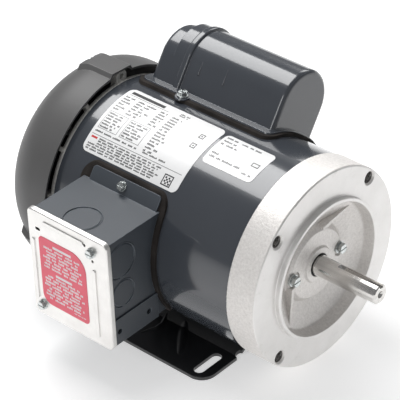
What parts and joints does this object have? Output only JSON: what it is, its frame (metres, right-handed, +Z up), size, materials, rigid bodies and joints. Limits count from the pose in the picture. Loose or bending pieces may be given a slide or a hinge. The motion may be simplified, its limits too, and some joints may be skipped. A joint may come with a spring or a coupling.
{
  "type": "electric motor",
  "caption": "Fan-cooled single-phase electric motor with a C-face flange, a slotted foot base, a top capacitor housing and a side conduit box.",
  "frame": {"origin": "centre of the four foot slots, in the plane the feet stand on", "axes": "+X along the shaft, out of the drive end; +Z up; the conduit box is on -Y"},
  "size_m": [0.3187, 0.2219, 0.204],
  "materials": {
    "painted_barrel": "gloss",
    "painted_base": "gloss",
    "painted_box": "satin",
    "fan_cover_paint": "satin",
    "cast_aluminium": "satin",
    "bare_sheet_steel": "satin",
    "turned_steel": "polished",
    "bearing_steel": "polished",
    "zinc_plated": "satin",
    "lamination_steel": "matte",
    "winding_copper": "gloss",
    "contact_brass": "satin",
    "black_rubber": "matte",
    "foam_gasket": "matte",
    "black_plastic": "satin",
    "fan_plastic": "satin",
    "board_phenolic": "satin",
    "spool_plastic": "satin",
    "label_white": "satin",
    "label_red": "satin",
    "lead_insulation": "satin"
  },
  "bodies": {
    "frame": {"stator_shell": "painted_barrel", "base": "painted_base", "drive_endbell": "cast_aluminium", "bearing_cap": "cast_aluminium", "bearing_cap_screws": "zinc_plated", "bearing_cap_washers": "zinc_plated", "shaft_seal": "black_rubber", "rear_endbell": "cast_aluminium", "through_bolts": "zinc_plated", "wave_spring": "bearing_steel", "drive_bearing_outer": "bearing_steel", "rear_bearing_outer": "bearing_steel", "stator_core": "lamination_steel", "main_winding": "winding_copper", "start_winding": "winding_copper", "fan_cover": "fan_cover_paint", "fan_cover_screws": "zinc_plated", "switch_board": "board_phenolic", "switch_pin": "bearing_steel", "fixed_contact": "contact_brass", "switch_screws": "zinc_plated", "capacitor_cover": "painted_barrel", "capacitor_gasket": "foam_gasket", "capacitor_cover_screws": "zinc_plated", "start_capacitor": "black_plastic", "capacitor_terminals": "contact_brass", "capacitor_boot": "black_rubber", "capacitor_pad": "foam_gasket", "lead_grommets": "black_rubber", "conduit_box": "painted_box", "conduit_box_channel": "painted_box", "conduit_box_gasket": "foam_gasket", "conduit_box_screws": "zinc_plated", "conduit_box_cover": "bare_sheet_steel", "conduit_cover_screws": "zinc_plated", "cover_label": "label_red", "terminal_board": "board_phenolic", "terminal_studs": "contact_brass", "motor_leads": "lead_insulation", "ground_screw": "zinc_plated", "rating_label": "label_white", "data_label": "label_white"},
    "rotor": {"shaft": "turned_steel", "rotor_core": "lamination_steel", "rotor_cage": "cast_aluminium", "cooling_fan": "fan_plastic", "fan_clip": "bearing_steel", "governor_plate": "bare_sheet_steel", "flyweight_pins": "bearing_steel", "drive_bearing_inner": "bearing_steel", "rear_bearing_inner": "bearing_steel"},
    "drive_ball_set": {"drive_bearing_balls": "bearing_steel", "drive_bearing_cage": "black_plastic"},
    "rear_ball_set": {"rear_bearing_balls": "bearing_steel", "rear_bearing_cage": "black_plastic"},
    "governor_spool": {"governor_collar": "spool_plastic"},
    "upper_weight": {"flyweight_upper": "bare_sheet_steel"},
    "lower_weight": {"flyweight_lower": "bare_sheet_steel"},
    "contact_arm": {"switch_arm": "contact_brass", "moving_contact": "contact_brass"}
  },
  "joints": [
    {"name": "shaft_spin", "type": "hinge", "parent": "frame", "child": "rotor", "pos_m": [0, 0, 0.0889], "axis": [1, 0, 0], "continuous": true},
    {"name": "drive_balls_spin", "type": "hinge", "parent": "frame", "child": "drive_ball_set", "pos_m": [0.0853, 0, 0.0889], "axis": [1, 0, 0], "continuous": true},
    {"name": "rear_balls_spin", "type": "hinge", "parent": "frame", "child": "rear_ball_set", "pos_m": [-0.116, 0, 0.0889], "axis": [1, 0, 0], "continuous": true},
    {"name": "governor_slide", "type": "slide", "parent": "rotor", "child": "governor_spool", "axis": [1, 0, 0], "range_m": [0, 0.003], "stiffness_N_per_m": 1500, "springref_m": -0.002},
    {"name": "upper_weight_swing", "type": "hinge", "parent": "rotor", "child": "upper_weight", "pos_m": [-0.08, 0, 0.1109], "axis": [0, -1, 0], "range_deg": [0, 25.1]},
    {"name": "lower_weight_swing", "type": "hinge", "parent": "rotor", "child": "lower_weight", "pos_m": [-0.08, 0, 0.0669], "axis": [0, 1, 0], "range_deg": [0, 25.1]},
    {"name": "contact_arm_swing", "type": "hinge", "parent": "frame", "child": "contact_arm", "pos_m": [-0.0984, 0, 0.0549], "axis": [0, 1, 0], "range_deg": [0, 3.2]}
  ],
  "couplings": [
    {"joint": "drive_balls_spin", "follows": "shaft_spin", "ratio": 0.3818},
    {"joint": "rear_balls_spin", "follows": "shaft_spin", "ratio": 0.3818},
    {"joint": "upper_weight_swing", "follows": "governor_slide", "rad_per_m": 145.4},
    {"joint": "lower_weight_swing", "follows": "governor_slide", "rad_per_m": 145.4},
    {"joint": "contact_arm_swing", "follows": "governor_slide", "rad_per_m": 18.33}
  ]
}
